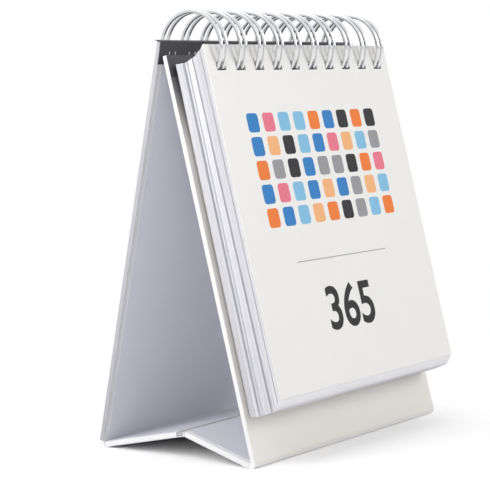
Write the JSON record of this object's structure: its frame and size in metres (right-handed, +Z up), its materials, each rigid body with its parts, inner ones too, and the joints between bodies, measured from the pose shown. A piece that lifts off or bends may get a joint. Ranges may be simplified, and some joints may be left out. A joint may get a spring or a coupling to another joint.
{
  "type": "desk day calendar on a folding easel",
  "caption": "Desk day calendar: paper leaves and a cover on a twin-loop wire, turned over the top of a folding paper-wrapped board easel.",
  "frame": {"origin": "on the table, under the middle of the whole object's box", "axes": "+X to the right along the wire, +Y from the leaves to the back panel, +Z up"},
  "size_m": [0.1376, 0.0852, 0.1724],
  "materials": {
    "greyboard": "raw greyboard, hidden under the paper",
    "wrap_paper": "smooth matt white wrap paper",
    "liner_paper": "smooth matt white liner",
    "dark_strip": "dark grey card",
    "bright_wire": "bright plated steel wire",
    "cover_card": null,
    "leaf_paper": "uncoated white paper, cut edges"
  },
  "bodies": {
    "front_panel": {"front_board": "greyboard", "front_wrap_paper": "wrap_paper", "front_liner": "liner_paper", "front_edge_hinge": "wrap_paper", "binding_wire": "bright_wire"},
    "back_panel": {"back_board": "greyboard", "back_wrap_paper": "wrap_paper", "back_liner": "liner_paper", "edge_strip": "dark_strip", "rear_edge_hinge": "wrap_paper"},
    "front_base": {"front_base_board": "greyboard", "front_base_wrap_paper": "wrap_paper", "front_base_liner": "liner_paper", "middle_fold_hinge": "wrap_paper"},
    "rear_base": {"rear_base_board": "greyboard", "rear_base_wrap_paper": "wrap_paper", "rear_base_liner": "liner_paper"},
    "rear_leaf_block": {"rear_leaves": "leaf_paper"},
    "middle_leaf_block": {"middle_leaves": "leaf_paper"},
    "front_leaf_block": {"front_leaves": "leaf_paper"},
    "cover_leaf": {"cover_sheet": "cover_card"}
  },
  "joints": [
    {"name": "apex_fold", "type": "hinge", "parent": "front_panel", "child": "back_panel", "pos_m": [0, 0.00344, 0.15747], "axis": [-1, 0, 0], "range_deg": [0, 11]},
    {"name": "front_base_fold", "type": "hinge", "parent": "front_panel", "child": "front_base", "pos_m": [0, -0.03046, 0.00225], "axis": [1, 0, 0], "range_deg": [0, 56.2]},
    {"name": "rear_base_fold", "type": "hinge", "parent": "back_panel", "child": "rear_base", "pos_m": [0, 0.0402, 0.00225], "axis": [-1, 0, 0], "range_deg": [0, 56.2]},
    {"name": "leaf_turn", "type": "hinge", "parent": "front_panel", "child": "middle_leaf_block", "pos_m": [0, 0.00344, 0.15747], "axis": [-1, 0, 0], "range_deg": [0, 135]},
    {"name": "rear_leaf_turn", "type": "hinge", "parent": "front_panel", "child": "rear_leaf_block", "pos_m": [0, 0.00344, 0.15747], "axis": [-1, 0, 0], "range_deg": [0, 124.5]},
    {"name": "front_leaf_turn", "type": "hinge", "parent": "front_panel", "child": "front_leaf_block", "pos_m": [0, 0.00344, 0.15747], "axis": [-1, 0, 0], "range_deg": [0, 144.6]},
    {"name": "cover_turn", "type": "hinge", "parent": "front_panel", "child": "cover_leaf", "pos_m": [0, 0.00344, 0.15747], "axis": [-1, 0, 0], "range_deg": [0, 151.4]}
  ],
  "couplings": [
    {"joint": "front_base_fold", "follows": "apex_fold", "ratio": 5.1},
    {"joint": "rear_base_fold", "follows": "apex_fold", "ratio": 5.1},
    {"joint": "rear_leaf_turn", "follows": "leaf_turn", "ratio": 0.92},
    {"joint": "front_leaf_turn", "follows": "leaf_turn", "ratio": 1.07},
    {"joint": "cover_turn", "follows": "leaf_turn", "ratio": 1.12}
  ]
}
